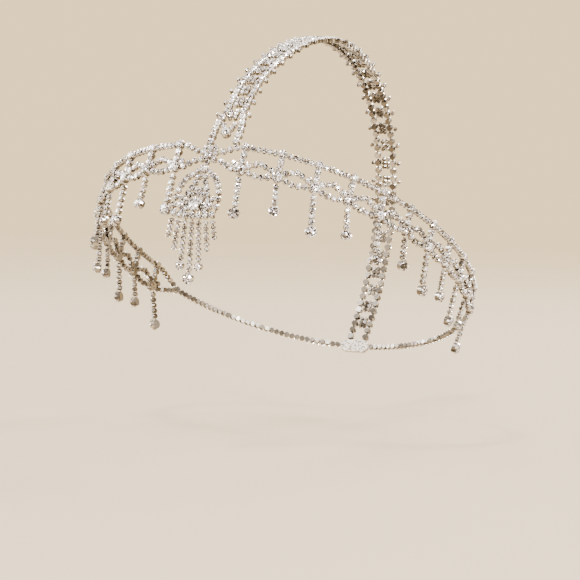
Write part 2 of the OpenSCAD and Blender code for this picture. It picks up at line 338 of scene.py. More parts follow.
def moved(x: float, y: float, z: float) -> Matrix:
    """A move, as a 4 by 4 matrix."""
    return Matrix.Translation((x, y, z))


def sine(degrees: float) -> float:
    """Sine of an angle in degrees."""
    return math.sin(math.radians(degrees))


def cosine(degrees: float) -> float:
    """Cosine of an angle in degrees."""
    return math.cos(math.radians(degrees))


def swing(a: Vector, b: Vector, c: Vector, t: float) -> Vector:
    """A point on the curve from a to c that bends towards b."""
    return (1 - t) ** 2 * a + 2 * t * (1 - t) * b + t * t * c


def standing(point: Vector, out: Vector, ahead: Vector) -> Matrix:
    """A frame that stands at a point with Z outwards.

    Args:
        point: The frame's origin.
        out: The way in which a stone faces.
        ahead: The way in which the chain runs, which X follows.

    Returns:
        The frame as a 4 by 4 matrix.
    """
    z = out.normalized()
    y = z.cross(ahead).normalized()
    x = y.cross(z)
    turn = Matrix((x, y, z)).transposed().to_4x4()
    return Matrix.Translation(point) @ turn


class ArcTable:
    """Turns a length along a half ring into the angle at which it ends."""

    step = 2.0

    def __init__(self, place: Callable[[float], Vector]) -> None:
        """Measures the curve.

        Args:
            place: The curve's point at an angle from 0 to 180 degrees.
        """
        self.runs = [0.0]
        self.angles = [0.0]
        while self.angles[-1] < 180:
            angle = self.angles[-1] + self.step
            length = (place(angle) - place(self.angles[-1])).length
            self.angles.append(angle)
            self.runs.append(self.runs[-1] + length)

    @property
    def length(self) -> float:
        """Length of the half ring."""
        return self.runs[-1]

    def angle(self, run: float) -> float:
        """The angle that a length reaches.

        Args:
            run: Length from the curve's start.

        Returns:
            The angle in degrees, kept between 0 and 180.
        """
        run = min(max(run, 0.0), self.length)
        i = next(i for i in range(1, len(self.runs)) if run <= self.runs[i])
        share = (run - self.runs[i - 1]) / (self.runs[i] - self.runs[i - 1])
        return self.angles[i - 1] + share * self.step


@dataclass(frozen=True)
class BandRing:
    """The oval on which the band lies, tipped up at the front."""

    half_width: float = 84.5
    half_length: float = 99.8
    tilt: float = 28.0

    @cached_property
    def table(self) -> ArcTable:
        """Lengths along the ring."""
        return ArcTable(self.flat)

    @property
    def half(self) -> float:
        """Length from the front of the ring to the back."""
        return self.table.length

    def flat(self, angle: float) -> Vector:
        """A point of the ring in its own plane."""
        x = self.half_width * sine(angle)
        return Vector((x, -self.half_length * cosine(angle), 0.0))

    def outward(self, angle: float) -> Vector:
        """The way out of the ring in its own plane."""
        x = sine(angle) / self.half_width
        return Vector((x, -cosine(angle) / self.half_length, 0.0)).normalized()

    @cached_property
    def tip(self) -> Matrix:
        """The turn that takes the ring's plane to the way it is worn."""
        return turned(-self.tilt, "X")

    def angle_at(self, run: float) -> float:
        """The angle at a length from the front, below 0 on the right."""
        return math.copysign(self.table.angle(abs(run)), run)

    def point(self, run: float, rise: float) -> Vector:
        """A point at a length along the ring and a rise above it."""
        flat = self.flat(self.angle_at(run))
        return self.tip @ Vector((flat.x, flat.y, rise))

    def facing(self, run: float) -> Vector:
        """The way outwards at a length along the ring."""
        return self.tip @ self.outward(self.angle_at(run))

    def frame(self, run: float) -> Matrix:
        """A frame on the ring, with X along it, Y up and Z outwards.

        Args:
            run: Length along the ring from the front, below 0 on the right.

        Returns:
            The frame as a 4 by 4 matrix.
        """
        angle = self.angle_at(run)
        flat, out = self.flat(angle), self.outward(angle)
        heading = math.degrees(math.atan2(out.y, out.x)) + 90
        place = moved(flat.x, flat.y, 0)
        return self.tip @ place @ turned(heading, "Z") @ turned(90, "X")

    def front_frame(self, x: float, rise: float) -> Matrix:
        """A frame on the flat front, with X to the wearer's left."""
        return self.tip @ moved(x, -self.half_length, rise) @ turned(90, "X")

    def front_point(self, x: float, rise: float) -> Vector:
        """A point on the flat front."""
        return self.tip @ Vector((x, -self.half_length, rise))


@dataclass(frozen=True)
class CrownArc:
    """The line of the strap, which arches over the ring."""

    ring: BandRing
    height: float = 115.5
    back: float = 28.0
    shift: float = 4.8
    sway: float = 1.5
    fade: float = 24.0
    lift: float = 0.5

    @cached_property
    def table(self) -> ArcTable:
        """Lengths along the strap."""
        return ArcTable(self.flat)

    @property
    def length(self) -> float:
        """Length from the front end of the strap to the back end."""
        return self.table.length

    def flat(self, angle: float) -> Vector:
        """A point of the strap's middle plane, before the tilt."""
        y = self.back * sine(angle) - self.ring.half_length * cosine(angle)
        return Vector((0.0, y, self.height * sine(angle)))

    def outward(self, angle: float) -> Vector:
        """The way outwards, before the tilt."""
        z = self.back * cosine(angle) + self.ring.half_length * sine(angle)
        return Vector((0.0, -self.height * cosine(angle), z)).normalized()

    def point(self, run: float, x: float) -> Vector:
        """A point of the strap.

        Args:
            run: Length along the strap, from its front end.
            x: Place across the strap, above 0 on the left.

        Returns:
            The point.
        """
        angle = self.table.angle(run)
        bend = self.shift * max(0.0, 1 - angle / self.fade) + self.sway * sine(angle)
        flat = self.flat(angle) + self.lift * self.outward(angle)
        return self.ring.tip @ Vector((x + bend, flat.y, flat.z))

    def facing(self, run: float) -> Vector:
        """The way outwards at a length along the strap."""
        return self.ring.tip @ self.outward(self.table.angle(run))

    def frame(self, run: float) -> Matrix:
        """A frame on the strap, with X across it, Y along it and Z outwards.

        Args:
            run: Length along the strap, from its front end.

        Returns:
            The frame as a 4 by 4 matrix.
        """
        ahead = self.point(run + 1, 0) - self.point(run - 1, 0)
        side = ahead.cross(self.facing(run))
        return standing(self.point(run, 0), self.facing(run), side)


# Stones


def paint(
    bm: BMesh,
    faces: Iterable[Face],
    tone: Callable[[int], float],
    index: int = SILVER_INDEX,
) -> None:
    """Gives faces their tones and their material.

    Args:
        bm: The mesh.
        faces: The faces, in the order in which their tones are drawn.
        tone: The tone of a face, from its number.
        index: Slot of the material.
    """
    layer = bm.faces.layers.float[FACET]
    for i, face in enumerate(faces):
        face[layer] = tone(i)
        face.material_index = index


def highest(faces: Iterable[Face]) -> Face:
    """The face that lies highest."""
    return max(faces, key=lambda face: face.calc_center_median().z)


def add_box(bm: BMesh, place: Matrix, tone: float) -> None:
    """Adds a silver box.

    Args:
        bm: The mesh.
        place: Place and size of the box, which is a cube of size 1 before.
        tone: Tone of all its faces.
    """
    box = bmesh.ops.create_cube(bm, size=1, matrix=place)
    faces = {face for vert in box["verts"] for face in vert.link_faces}
    paint(bm, faces, lambda i: tone)


def mesh_from(bm: BMesh, name: str, *materials: Material) -> Mesh:
    """Turns a finished bmesh into a mesh.

    Args:
        bm: The bmesh, which is freed.
        name: The mesh's name.
        *materials: The materials, in the order of their slots.

    Returns:
        The new mesh.
    """
    mesh = bpy.data.meshes.new(name)
    for material in materials:
        mesh.materials.append(material)
    bm.to_mesh(mesh)
    bm.free()
    return mesh


def add_object(name: str, data: bpy.types.ID) -> bpy.types.Object:
    """Adds an object to the scene.

    Args:
        name: The object's name.
        data: The mesh, light or camera that it shows.

    Returns:
        The new object.
    """
    new = bpy.data.objects.new(name, data)
    bpy.context.scene.collection.objects.link(new)
    return new


class Tones:
    """Draws the painted tone that each facet of a stone and its cup shows.

    The tones are painted reflection and shade, with a random spread. Crown
    facets are painted light and dark in turn, as if one mirrored a light and the
    next one a dark part of the room. The table is painted lighter.
    """

    spread = 0.8
    # Painted reflection: crown facets turn lighter and darker, the table lighter
    light_turn = 0.2
    dark_turn = -0.4
    table_gain = 0.1
    # Painted shade: rims and walls of the cups are drawn dark
    rim_from = 0.06
    rim_spread = 0.48
    wall_from = 0.06
    wall_spread = 0.42

    def __init__(self, light: float, seed: int) -> None:
        """Starts the draw.

        Args:
            light: How light the stone is, from 0 to 1.
            seed: Start of the draw.
        """
        self.light = light
        self.draw = random.Random(seed)

    def _around(self, shift: float) -> float:
        """A tone around the stone's own, from 0 to 1."""
        tone = self.light + shift + self.spread * (self.draw.random() - 0.5)
        return min(1.0, max(0.0, tone))

    def crown(self, i: int) -> float:
        """Tone of crown facet i."""
        return self._around(self.dark_turn if i % 2 else self.light_turn)

    def table(self) -> float:
        """A painted light tone of the table."""
        return self._around(self.table_gain)

    def wedge(self, i: int) -> float:
        """Painted tone of wedge i of the table, of which every third is a dark painted
        reflection.
        """
        return self.table() if i % 3 else self.crown(1)

    def rim(self) -> float:
        """A tone of a cup's rim, darker than the stone: painted shade and painted dark
        reflection.
        """
        return self.rim_from + self.rim_spread * self.draw.random()

    def wall(self) -> float:
        """A dark tone of a cup's wall: painted shade and painted dark reflection."""
        return self.wall_from + self.wall_spread * self.draw.random()


@dataclass
class Setting:
    """A stone in its cup, which stands at the origin and faces along Z.

    Sizes without a unit in their name are shares of the cup's width, and the
    pairs crown and star say how far a step goes inwards and upwards. "Below"
    is the part of a round stone under its girdle.
    """

    size: float
    tones: Tones
    bm: BMesh = field(default_factory=bmesh.new)
    cup_floor_mm: float = 1.1
    cup_share: float = 0.27
    foot: float = 0.43
    edge: float = 0.5
    rim: float = 0.045
    lip: float = 0.005
    sunk: float = 0.06
    sunk_more: float = 0.1
    crown: Pair = (0.155, 0.25)
    star: Pair = (0.11, 0.02)
    facet_bulge: float = 0.022
    table_bulge: float = 0.012
    girdle: float = 0.452
    below_foot: float = 0.34
    below: float = 0.12
    small_sides: int = 8
    round_sides: int = 24
    stone_sides: int = 12
    poked_above_mm: float = 2.5
    small_prongs: tuple[float, ...] = (58, 122, 238, 302)
    round_prongs: tuple[float, ...] = (30, 90, 150, 210, 270, 330)
    small_prong_out: float = 0.53
    round_prong_out: float = 0.475
    prong: tuple[float, float, float] = (0.08, 0.12, 0.28)
    prong_extra_mm: Pair = (0.1, 0.14)
    prong_down: float = 0.02
    prong_lean: float = -22.0
    prong_tone: float = 0.6

    def __post_init__(self) -> None:
        """Adds the layer that holds the tones."""
        self.bm.faces.layers.float.new(FACET)

    @property
    def high(self) -> float:
        """Depth of the cup in millimetres."""
        return self.cup_floor_mm + self.cup_share * self.size

    def _inset(self, face: Face, inwards: float, up: float = 0.0) -> list[Face]:
        """Draws a face in and moves it up.

        Args:
            face: The face.
            inwards: How far its sides move in.
            up: How far it rises.

        Returns:
            The faces made around it.
        """
        thickness, depth = inwards * self.size, up * self.size
        made = bmesh.ops.inset_individual(
            self.bm, faces=[face], thickness=thickness, depth=depth
        )
        return made["faces"]

    def _poke(self, faces: list[Face], bulge: float) -> list[Face]:
        """Splits faces into wedges around a raised middle."""
        offset = bulge * self.size
        return bmesh.ops.poke(self.bm, faces=faces, offset=offset)["faces"]

    def _cone(self, sides: int, radii: Pair, depth: float, place: Matrix) -> list[Face]:
        """Adds a closed cone with its middle at a matrix's origin.

        Args:
            sides: Number of its sides.
            radii: Radius of its lower and its upper end, as shares of the width.
            depth: Its height in millimetres.
            place: The matrix.

        Returns:
            The faces of the cone.
        """
        known = set(self.bm.faces)
        bmesh.ops.create_cone(
            self.bm,
            cap_ends=True,
            segments=sides,
            radius1=radii[0] * self.size,
            radius2=radii[1] * self.size,
            depth=depth,
            matrix=place,
        )
        return [face for face in self.bm.faces if face not in known]

    def _cup(self, sides: int) -> Face:
        """Makes the cup with its rim.

        Args:
            sides: Number of the cup's sides.

        Returns:
            The face inside the rim.
        """
        place = moved(0, 0, self.high / 2) @ turned(180 / sides, "Z")
        cup = self._cone(sides, (self.foot, self.edge), self.high, place)
        paint(self.bm, cup, lambda i: self.tones.wall())
        top = highest(cup)
        paint(self.bm, self._inset(top, self.rim), lambda i: self.tones.rim())
        self._inset(top, self.lip, -self.sunk)
        return top

    def _crown(self, top: Face, poked: bool, starred: bool) -> None:
        """Raises the cut crown of the stone, with its table.

        Args:
            top: The face that becomes the crown.
            poked: Whether each facet of the crown is split into wedges.
            starred: Whether a second row of facets runs round the table.
        """
        facets = self._inset(top, *self.crown)
        if poked:
            facets = self._poke(facets, self.facet_bulge)
        paint(self.bm, facets, self.tones.crown, CRYSTAL_INDEX)
        if starred:
            star = self._inset(top, *self.star)
            paint(self.bm, star, lambda i: self.tones.crown(i + 1), CRYSTAL_INDEX)
        wedges = self._poke([top], self.table_bulge)
        paint(self.bm, wedges, self.tones.wedge, CRYSTAL_INDEX)

    def _prongs(self, turns: Iterable[float], out: float) -> None:
        """Bends prongs over the rim.

        Args:
            turns: Angles of the prongs.
            out: Distance of a prong from the middle.
        """
        thick, wide, high = (share * self.size for share in self.prong)
        more_thick, more_wide = self.prong_extra_mm
        shape = Matrix.Diagonal((thick + more_thick, wide + more_wide, high, 1))
        place = moved(out * self.size, 0, self.high - self.prong_down * self.size)
        for turn in turns:
            lean = turned(turn, "Z") @ place @ turned(self.prong_lean, "Y")
            add_box(self.bm, lean @ shape, self.prong_tone)

    def make_small(self) -> None:
        """Makes a small setting in one closed skin, with four prongs."""
        top = self._cup(self.small_sides)
        self._crown(top, poked=self.size > self.poked_above_mm, starred=False)
        self._prongs(self.small_prongs, self.small_prong_out)

    def make_round(self) -> None:
        """Makes a large round cup with a separate brilliant-cut stone."""
        top = self._cup(self.round_sides)
        self._inset(top, self.lip, -self.sunk_more)
        depth = self.below * self.size
        place = moved(0, 0, self.high - self.sunk * self.size - depth / 2)
        radii = (self.below_foot, self.girdle)
        stone = self._cone(self.stone_sides, radii, depth, place)
        paint(self.bm, stone, lambda i: self.tones.table(), CRYSTAL_INDEX)
        self._crown(highest(stone), poked=True, starred=True)
        self._prongs(self.round_prongs, self.round_prong_out)


@dataclass
class StoneBench:
    """Makes stones in their cups, each size once in a few cuts."""

    silver: Material
    crystal: Material
    # How light each cut's painted reflections are
    lights: tuple[float, ...] = (0.52, 0.36, 0.64, 0.3, 0.46, 0.7, 0.4, 0.58, 0.33)
    round_from: float = 3.3
    cut_seed: int = 1000
    size_seed: int = 100
    made: dict[tuple[float, int, float], Mesh] = field(default_factory=dict)

    @property
    def cuts(self) -> int:
        """Number of cuts of each size, which differ in how light they are."""
        return len(self.lights)

    def setting(self, size: float, cut: int, shade: float) -> Mesh:
        """A stone in its cup, in millimetres.

        Args:
            size: Width of the cup.
            cut: Number of the cut, which sets the tones of the facets.
            shade: How much darker than usual the facets are.

        Returns:
            The mesh, which is shared by all stones like it.
        """
        key = (round(size, 2), cut, shade)
        if key not in self.made:
            self.made[key] = self._make(*key)
        return self.made[key]

    def _make(self, size: float, cut: int, shade: float) -> Mesh:
        """Builds one setting.

        Args:
            size: Width of the cup.
            cut: Number of the cut.
            shade: How much darker than usual the facets are.

        Returns:
            The mesh in millimetres.
        """
        seed = self.cut_seed * cut + int(self.size_seed * size)
        setting = Setting(size, Tones(self.lights[cut] - shade, seed))
        if size < self.round_from:
            setting.make_small()
        else:
            setting.make_round()
        bmesh.ops.recalc_face_normals(setting.bm, faces=setting.bm.faces)
        return self.mesh(setting.bm, f"setting_{size}_{cut}")

    def mesh(self, bm: BMesh, name: str) -> Mesh:
        """Turns a bmesh into a mesh of silver and crystal."""
        return mesh_from(bm, name, self.silver, self.crystal)


class Seed(IntEnum):
    """Starts of the draws that pick the cut of each stone of a piece."""

    UPPER = 11
    MIDDLE = 21
    LOWER = 31
    KNOT = 41
    JOINS = 51
    HANGER = 61
    BELL = 71
    FRINGE = 81
    FRINGE_ENDS = 91
    RAIL = 111
    RUNGS = 121
    DROPS = 500


class Strand:
    """One piece of the chain while it is put together.

    No two cups of a real chain sit at quite the same angle, so each stone is
    tipped by a few degrees and catches another light than its neighbours.
    """

    tip = 5.0
    link_wide = 0.55
    link_thick = 0.35
    link_raise = 0.35
    solder_size = 0.95
    measure_steps = 24
    look_ahead = 0.02
    sizes_per_mm = 40

    def __init__(self, bench: StoneBench, seed: int, bar_tone: float = 0.25) -> None:
        """Starts an empty piece.

        Args:
            bench: Where the stones come from.
            seed: Start of the draw that picks the cut of each stone.
            bar_tone: Tone of the links and the solder, dark as painted shade between the
                stones.
        """
        self.bench = bench
        self.bar_tone = bar_tone
        self.bm = bmesh.new()
        self.bm.faces.layers.float.new(FACET)
        self.draw = random.Random(seed)
        self.stones = 0

    def set_stone(
        self, frame_at: Matrix, size: float, base: float = CHAIN_HALF, shade: float = 0.0
    ) -> None:
        """Sets a stone.

        Args:
            frame_at: Frame on the chain's middle line, with Z outwards.
            size: Width of the cup.
            base: How far the foot of the cup lies below that line.
            shade: How much darker than usual the stone is.
        """
        cut = self.draw.randrange(self.bench.cuts)
        half_turn = 180 * self.draw.randrange(2)
        along, across = (self.draw.uniform(-self.tip, self.tip) for _ in range(2))
        tipped = frame_at @ turned(along, "X") @ turned(across, "Y")
        mesh = self.bench.setting(size, cut, shade).copy()
        mesh.transform(tipped @ moved(0, 0, -base) @ turned(half_turn, "Z"))
        self.bm.from_mesh(mesh)
        bpy.data.meshes.remove(mesh)
        self.stones += 1

    def bar(self, a: Vector, b: Vector, out: Vector, section: Pair, lift: float) -> None:
        """Adds a flat bar.

        Args:
            a: One end, on the chain's middle line.
            b: The other end.
            out: The way outwards.
            section: Width across the chain and thickness outwards.
            lift: Height of the bar's middle above the middle line.
        """
        run = b - a
        place = standing((a + b) / 2, out, run) @ moved(0, 0, lift)
        shape = Matrix.Diagonal((run.length, *section, 1))
        add_box(self.bm, place @ shape, self.bar_tone)

    def link(self, a: Vector, b: Vector, out: Vector, base: float = CHAIN_HALF) -> None:
        """Joins two cups with the thin link under them."""
        lift = self.link_thick / 2 + self.link_raise - base
        self.bar(a, b, out, (self.link_wide, self.link_thick), lift)

    def row(
        self,
        place: Callable[[float], Vector],
        facing: Callable[[float], Vector],
        size: float = FINE_STONE,
        pitch: float = FINE_PITCH,
        base: float = CHAIN_HALF,
        reach: float = 0.5,
    ) -> None:
        """Sets stones along a line, joined by links.

        Args:
            place: Point of the line, from 0 at its start to 1 at its end.
            facing: The way outwards there.
            size: Width of the cups.
            pitch: Wanted distance from stone to stone.
            base: How far the foot of a cup lies below the line.
            reach: How far the end links run on, under the neighbouring cups.
        """
        points = [place(i / self.measure_steps) for i in range(self.measure_steps + 1)]
        length = sum((b - a).length for a, b in zip(points, points[1:]))
        count = max(1, round(length / pitch))
        room = math.floor(self.sizes_per_mm * length / count) / self.sizes_per_mm
        spots = [(i + 0.5) / count for i in range(count)]
        for t in spots:
            before, after = max(0, t - self.look_ahead), min(1, t + self.look_ahead)
            at = standing(place(t), facing(t), place(after) - place(before))
            self.set_stone(at, min(size, room), base)
        for a, b in zip(spots, spots[1:]):
            self.link(place(a), place(b), facing((a + b) / 2), base)
        for end, inner in ((0.0, spots[0]), (1.0, spots[-1])):
            way = (place(end) - place(inner)).normalized()
            self.link(place(inner), place(end) + reach * way, facing(end), base)

    def cluster(
        self,
        frame_at: Matrix,
        places: Iterable[Place],
        size: float,
        base: float = CHAIN_HALF,
    ) -> None:
        """Sets stones of one size at flat places of a frame."""
        for x, y in places:
            self.set_stone(frame_at @ moved(x, y, 0), size, base)

    def solder(self, frame_at: Matrix, a: Place, b: Place) -> None:
        """Joins two cups of a cluster with a bar of solder.

        Args:
            frame_at: Frame of the cluster.
            a: Place of one cup.
            b: Place of the other.
        """
        start, end = (frame_at @ Vector((*p, 0.0)) for p in (a, b))
        out = (frame_at.to_3x3() @ Vector((0, 0, 1))).normalized()
        size = self.solder_size
        self.bar(start, end, out, (size, size), size / 2 - CHAIN_HALF)

    def solder_along(self, frame_at: Matrix, places: Sequence[Place]) -> None:
        """Joins each cup of a list to the next."""
        for a, b in zip(places, places[1:]):
            self.solder(frame_at, a, b)

    def finish(self, node: str) -> None:
        """Turns the piece into an object in metres that stands for a solid.

        Args:
            node: Name of the solid that the piece replaces.
        """
        bmesh.ops.scale(self.bm, vec=(MM, MM, MM), verts=self.bm.verts)
        mesh = self.bench.mesh(self.bm, f"set_{node}")
        piece = add_object(f"set_{node}", mesh)
        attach(piece, "root")
        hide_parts(node)
        log.info("%s: %d stones, %d faces", piece.name, self.stones, len(mesh.polygons))


def both(place: Place) -> list[Place]:
    """A place and its mirror image across the middle."""
    return [place, (-place[0], place[1])]


def around(radius: float, turns: Iterable[float]) -> list[Place]:
    """Places around a middle, at one distance and the given angles."""
    return [(radius * cosine(turn), radius * sine(turn)) for turn in turns]


# The band


@dataclass
class Post:
    """A soldered column of stones between the two rows of the band."""

    ring: BandRing
    bench: StoneBench
    count: int = 11
    first: float = 15.4
    pitch: float = 16.1
    row_rise: float = 5.45
    top_cup: float = 3.8
    column_cup: float = 3.1
    heart_cup: float = 4.8
    shoulder_cup: float = 2.9
    column_drops: Pair = (3.45, 6.9)
    shoulder_reach: float = 3.1
    shoulder_lift: float = 2.55
    seed_step: int = 100

    def run(self, i: int) -> float:
        """Length along the ring from the front to post number i."""
        return self.first + (i - 1) * self.pitch

    @property
    def shoulder_rise(self) -> float:
        """Rise of the two shoulder stones."""
        return self.shoulder_lift - self.row_rise

    def build(self, side: Side, i: int) -> None:
        """Builds one post.

        Args:
            side: Side of the band.
            i: Number of the post, from 1 at the front.
        """
        strand = Strand(self.bench, self.seed_step * i + side.value)
        at = self.ring.frame(side.value * self.run(i))
        top, heart = (0.0, self.row_rise), (0.0, -self.row_rise)
        shoulders = both((self.shoulder_reach, self.shoulder_rise))
        column = [(0.0, self.row_rise - drop) for drop in self.column_drops]
        strand.cluster(at, [top], self.top_cup)
        strand.cluster(at, column, self.column_cup)
        strand.cluster(at, [heart], self.heart_cup)
        strand.cluster(at, shoulders, self.shoulder_cup)
        strand.solder(at, top, heart)
        for shoulder in shoulders:
            strand.solder(at, heart, shoulder)
        strand.finish(f"post_{side.label}_{i}")


@dataclass
class Band:
    """The three fine chains on each side, the knot and the joins."""

    ring: BandRing
    bench: StoneBench
    post: Post
    slant_gap: float = 0.4
    middle_gap: float = 0.4
    clasp_gap: float = 0.3
    lower_drop: float = 0.35
    lower_sag: float = 1.2
    middle_rise: float = -0.9
    middle_lift: float = 0.3
    knot_cup: float = 3.8
    petal_gap: float = 0.1
    petal_cup: float = 2.8
    petal_turns: tuple[float, ...] = (-30, 30, 90, 150, 210)
    bud_cup: float = 2.0
    bud_turns: tuple[float, ...] = (60, 120)
    bud_radius: float = 4.65
    foot_cup: float = 2.2
    foot_drop: float = 3.1
    leave_angle: float = 22.0
    join_cup: float = 3.6
    join_spread: float = 1.2
    clasp_length: float = 14.4

    @property
    def knot_radius(self) -> float:
        """Half the width of the knot."""
        return self.knot_cup / 2 + self.petal_cup + self.petal_gap

    @property
    def knot_leave(self) -> Place:
        """Where a chain starts beside the knot."""
        along = self.knot_radius * cosine(self.leave_angle) + self.slant_gap
        return along, self.knot_radius * sine(self.leave_angle)

    @property
    def join_run(self) -> float:
        """Length along the ring to the stone in which the chains join."""
        return self.post.first + self.post.count * self.post.pitch

    def _chain(
        self, strand: Strand, side: Side, a: Place, b: Place, bow: float = 0.0
    ) -> None:
        """Runs a chain on the ring from one place to another.

        Args:
            strand: The piece that takes the chain.
            side: Side of the band.
            a: Length along the ring and rise of the start.
            b: The same of the end.
            bow: Rise of the chain's middle above a straight line.
        """
        start, end = Vector((*a, 0.0)), Vector((*b, 0.0))
        peak = (start + end) / 2 + Vector((0, 2 * bow, 0))

        def spot(t: float) -> Vector:
            """The place at a share of the chain."""
            return swing(start, peak, end, t)

        strand.row(
            lambda t: self.ring.point(side.value * spot(t).x, spot(t).y),
            lambda t: self.ring.facing(side.value * spot(t).x),
        )

    def _between(
        self, strand: Strand, side: Side, reach: float, rise: float, bow: float = 0.0
    ) -> None:
        """Runs a chain from each post of a side to the next.

        Args:
            strand: The piece that takes the chains.
            side: Side of the band.
            reach: Distance from the middle of a post to the end of a chain.
            rise: Rise of the ends.
            bow: Rise of a chain's middle above its ends.
        """
        for i in range(1, self.post.count):
            a, b = self.post.run(i) + reach, self.post.run(i + 1) - reach
            self._chain(strand, side, (a, rise), (b, rise), bow)

    def upper(self, side: Side) -> None:
        """Builds the upper chain of a side, up to the clasp.

        Args:
            side: Side of the band.
        """
        post, strand = self.post, Strand(self.bench, Seed.UPPER + side.value)
        rise = post.row_rise
        reach = post.top_cup / 2 + GAP
        join_reach = self.join_cup / 2 + GAP
        slant = reach + self.slant_gap
        self._chain(strand, side, self.knot_leave, (post.first - slant, rise))
        self._between(strand, side, reach, rise)
        last = post.run(post.count) + slant
        join = (self.join_run - join_reach, self.join_spread)
        self._chain(strand, side, (last, rise), join)
        clasp = self.ring.half - self.clasp_length / 2 - self.clasp_gap
        self._chain(strand, side, (self.join_run + join_reach, 0.0), (clasp, 0.0))
        strand.finish(f"upper_chain_{side.label}")

    def middle(self, side: Side) -> None:
        """Builds the arched chains between the shoulders of the posts.

        Args:
            side: Side of the band.
        """
        post, strand = self.post, Strand(self.bench, Seed.MIDDLE + side.value)
        rise = post.shoulder_rise + self.middle_lift
        reach = post.shoulder_reach + post.shoulder_cup / 2 + self.middle_gap
        self._between(strand, side, reach, rise, self.middle_rise - rise)
        strand.finish(f"middle_chains_{side.label}")

    def lower(self, side: Side) -> None:
        """Builds the lower chain of a side, which sags between the posts.

        Args:
            side: Side of the band.
        """
        post, strand = self.post, Strand(self.bench, Seed.LOWER + side.value)
        rise = -post.row_rise - self.lower_drop
        reach = post.heart_cup / 2 + GAP
        slant = reach + self.slant_gap
        leave = (self.knot_leave[0], -self.knot_leave[1])
        self._chain(strand, side, leave, (post.first - slant, rise))
        self._between(strand, side, reach, rise, -self.lower_sag)
        join = (self.join_run - self.join_cup / 2 - GAP, -self.join_spread)
        self._chain(strand, side, (post.run(post.count) + slant, rise), join)
        strand.finish(f"lower_chain_{side.label}")

    def knot(self) -> None:
        """Builds the flower of stones in which all chains start."""
        strand = Strand(self.bench, Seed.KNOT)
        at = self.ring.front_frame(0, 0)
        petals = around(self.knot_radius - self.petal_cup / 2, self.petal_turns)
        buds = around(self.bud_radius, self.bud_turns)
        foot = (0.0, -self.foot_drop)
        strand.cluster(at, [(0.0, 0.0)], self.knot_cup)
        strand.cluster(at, petals, self.petal_cup)
        strand.cluster(at, buds, self.bud_cup)
        strand.cluster(at, [foot], self.foot_cup)
        for petal in [*petals, foot]:
            strand.solder(at, (0.0, 0.0), petal)
        for bud in buds:
            strand.solder(at, petals[2], bud)
        strand.finish("knot")

    def joins(self) -> None:
        """Builds the two stones in which the chains join at the back."""
        strand = Strand(self.bench, Seed.JOINS)
        for side in Side:
            at = self.ring.frame(side.value * self.join_run)
            strand.set_stone(at, self.join_cup)
        strand.finish("chain_joins")


@dataclass
class Drop:
    """A short chain with a large end stone, hung from a post."""

    ring: BandRing
    bench: StoneBench
    post: Post
    long: float = 16.5
    short: float = 12.3
    long_cup: float = 5.0
    short_cup: float = 4.6
    forward_lean: float = 0.18
    outward_lean: float = 0.16
    inward_lean: float = 0.16
    slant_gap: float = 0.3
    end_shade: float = 0.16
    seed_step: int = 10

    def way(self, run: float) -> Vector:
        """The way in which a drop hangs.

        Args:
            run: Length along the ring to its post, below 0 on the right.

        Returns:
            The way, as a vector of length 1.
        """
        out = self.ring.facing(run)
        level = Vector((out.x, out.y, 0)).normalized()
        front = cosine(self.ring.angle_at(run))
        lean = self.outward_lean * front - self.inward_lean * (1 - front)
        return (Vector((0, -self.forward_lean, -1)) + lean * level).normalized()

    def build(self, side: Side, i: int) -> None:
        """Builds one drop.

        Args:
            side: Side of the band.
            i: Number of its post.
        """
        seed = Seed.DROPS + self.seed_step * i + side.value
        strand = Strand(self.bench, seed)
        run = side.value * self.post.run(i)
        is_long = i % 2 == 1
        cup = self.long_cup if is_long else self.short_cup
        fall = self.post.heart_cup / 2 + (self.long if is_long else self.short)
        way, out = self.way(run), self.ring.facing(run)
        heart = self.ring.point(run, -self.post.row_rise)
        start = heart + way * (self.post.heart_cup / 2 + GAP + self.slant_gap)
        end = heart + way * (fall - cup / 2 - GAP)
        strand.row(lambda t: start.lerp(end, t), lambda t: out)
        hung = standing(heart + way * fall, out - out.dot(way) * way, way)
        strand.set_stone(hung, cup, shade=self.end_shade)
        strand.finish(f"drop_{side.label}_{i}")


# The pendant


